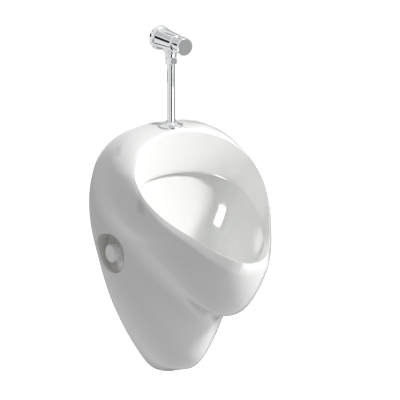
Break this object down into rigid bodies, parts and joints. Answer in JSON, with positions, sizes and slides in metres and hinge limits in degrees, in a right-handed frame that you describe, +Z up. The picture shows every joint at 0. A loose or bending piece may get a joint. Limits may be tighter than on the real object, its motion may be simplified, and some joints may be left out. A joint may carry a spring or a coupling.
{
  "type": "wall-hung urinal with push-button flush valve",
  "caption": "Wall-hung white ceramic urinal with a hooded bowl, side fixings, concealed bottle trap and an exposed chrome push-button flush valve on a short flush tube.",
  "frame": {"origin": "on the wall plane, at the centre of the four wall screws that hold the two brackets", "axes": "+X to the right seen from the front, +Y into the wall (the urinal stands out along -Y), +Z up"},
  "size_m": [0.316, 0.3812, 0.687],
  "materials": {
    "ceramic": "glossy white glaze",
    "zinc_steel": "zinc-plated steel",
    "plug_plastic": "moulded nylon",
    "white_plastic": "satin white",
    "trap_plastic": "moulded white-grey polypropylene",
    "black_rubber": "matt rubber",
    "chrome": "polished chrome on brass",
    "brass": "turned brass"
  },
  "bodies": {
    "urinal": {"ceramic_body": "ceramic", "wall_bracket_left": "zinc_steel", "wall_bracket_right": "zinc_steel", "wall_screws": "zinc_steel", "wall_washers": "zinc_steel", "wall_plugs": "plug_plastic", "side_bush_left": "black_rubber", "side_bush_right": "black_rubber", "side_washer_left": "zinc_steel", "side_washer_right": "zinc_steel", "side_screw_left": "zinc_steel", "side_screw_right": "zinc_steel", "side_cap_left": "white_plastic", "side_cap_right": "white_plastic", "waste_strainer": "chrome", "strainer_screw": "chrome", "waste_gasket": "black_rubber", "waste_tail": "chrome", "backnut_washer": "black_rubber", "waste_backnut": "trap_plastic", "trap_top_nut": "trap_plastic", "trap_top_seal": "black_rubber", "trap_top": "trap_plastic", "dip_tube": "trap_plastic", "cup_seal": "black_rubber", "trap_cup": "trap_plastic", "outlet_seal": "black_rubber", "outlet_nut": "trap_plastic", "outlet_pipe": "trap_plastic", "wall_collar": "black_rubber", "inlet_grommet": "black_rubber", "flush_tube": "chrome", "tube_cone": "black_rubber", "tube_nut": "chrome", "valve_body": "chrome", "wall_disc": "chrome", "inlet_filter": "zinc_steel", "seat_ring": "brass", "return_spring": "zinc_steel", "stem_ring": "black_rubber", "bonnet": "chrome", "bonnet_ring": "black_rubber"},
    "button": {"push_button": "chrome", "push_stem": "zinc_steel", "poppet": "brass", "poppet_seal": "black_rubber"},
    "rosette": {"tube_rosette": "chrome"}
  },
  "joints": [
    {"name": "button_press", "type": "slide", "parent": "urinal", "child": "button", "axis": [0, 1, 0], "range_m": [0, 0.006], "stiffness_N_per_m": 600, "springref_m": -0.006, "deforming": ["return_spring"]},
    {"name": "rosette_slide", "type": "slide", "parent": "urinal", "child": "rosette", "axis": [0, 0, 1], "range_m": [0, 0.05]}
  ]
}
